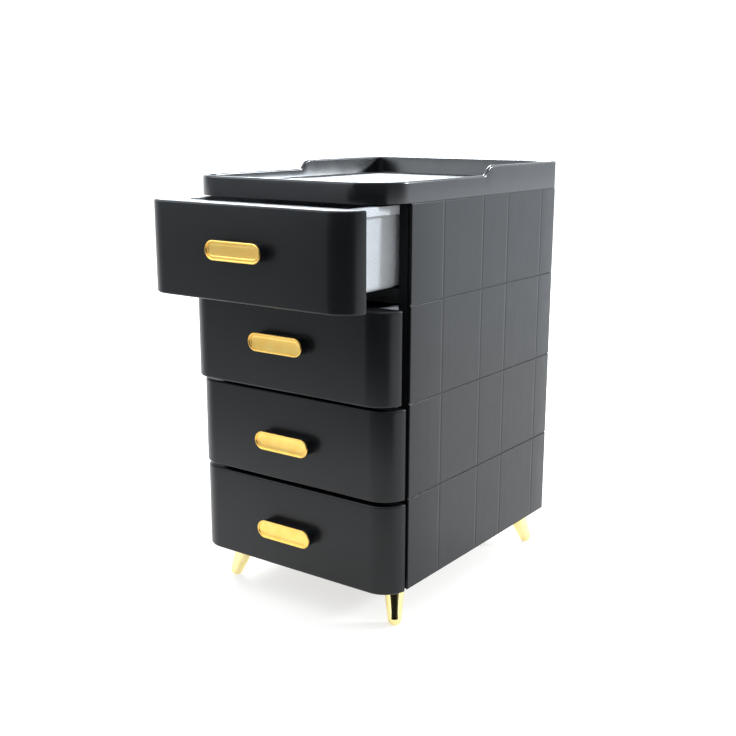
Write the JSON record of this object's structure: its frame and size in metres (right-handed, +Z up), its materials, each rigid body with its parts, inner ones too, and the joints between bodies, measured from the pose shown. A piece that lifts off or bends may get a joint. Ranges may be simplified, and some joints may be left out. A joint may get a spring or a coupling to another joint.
{
  "type": "desktop mini drawers",
  "caption": "Small desktop drawer tower: stacked sliding drawers with rounded fronts and capped knobs, a rimmed top tray and splayed tapered legs.",
  "frame": {"origin": "middle of the whole outline's base, on the floor, in the pose of the picture", "axes": "+Z up, -Y toward the front where the drawers open, +X to the right seen from the front"},
  "size_m": [0.1856, 0.2956, 0.332],
  "materials": {
    "black_plastic": "satin to gloss black moulded plastic",
    "white_plastic": "smooth pale grey-white moulded plastic",
    "gold_plating": "bright gold plating, polished",
    "screw_steel": "plain zinc-plated steel"
  },
  "bodies": {
    "case": {"base_plate": "black_plastic", "leg_front_left": "gold_plating", "leg_front_right": "gold_plating", "leg_rear_left": "gold_plating", "leg_rear_right": "gold_plating", "leg_screws": "screw_steel", "top_tray": "black_plastic", "shelf_1": "black_plastic", "shelf_2": "black_plastic", "shelf_3": "black_plastic", "shelf_4": "black_plastic", "side_left_1": "black_plastic", "side_left_2": "black_plastic", "side_left_3": "black_plastic", "side_left_4": "black_plastic", "side_right_1": "black_plastic", "side_right_2": "black_plastic", "side_right_3": "black_plastic", "side_right_4": "black_plastic", "back_panel_1": "black_plastic", "back_panel_2": "black_plastic", "back_panel_3": "black_plastic", "back_panel_4": "black_plastic"},
    "drawer_1": {"drawer_front_1": "black_plastic", "drawer_tub_1": "white_plastic", "knob_body_1": "black_plastic", "knob_cap_1": "gold_plating", "knob_screws_1": "screw_steel"},
    "drawer_2": {"drawer_front_2": "black_plastic", "drawer_tub_2": "white_plastic", "knob_body_2": "black_plastic", "knob_cap_2": "gold_plating", "knob_screws_2": "screw_steel"},
    "drawer_3": {"drawer_front_3": "black_plastic", "drawer_tub_3": "white_plastic", "knob_body_3": "black_plastic", "knob_cap_3": "gold_plating", "knob_screws_3": "screw_steel"},
    "drawer_4": {"drawer_front_4": "black_plastic", "drawer_tub_4": "white_plastic", "knob_body_4": "black_plastic", "knob_cap_4": "gold_plating", "knob_screws_4": "screw_steel"}
  },
  "joints": [
    {"name": "drawer_1_slide", "type": "slide", "parent": "case", "child": "drawer_1", "axis": [0, -1, 0], "range_m": [0, 0.15]},
    {"name": "drawer_2_slide", "type": "slide", "parent": "case", "child": "drawer_2", "axis": [0, -1, 0], "range_m": [-0.001, 0.149]},
    {"name": "drawer_3_slide", "type": "slide", "parent": "case", "child": "drawer_3", "axis": [0, -1, 0], "range_m": [-0.0065, 0.1435]},
    {"name": "drawer_4_slide", "type": "slide", "parent": "case", "child": "drawer_4", "axis": [0, -1, 0], "range_m": [-0.048, 0.102]}
  ]
}
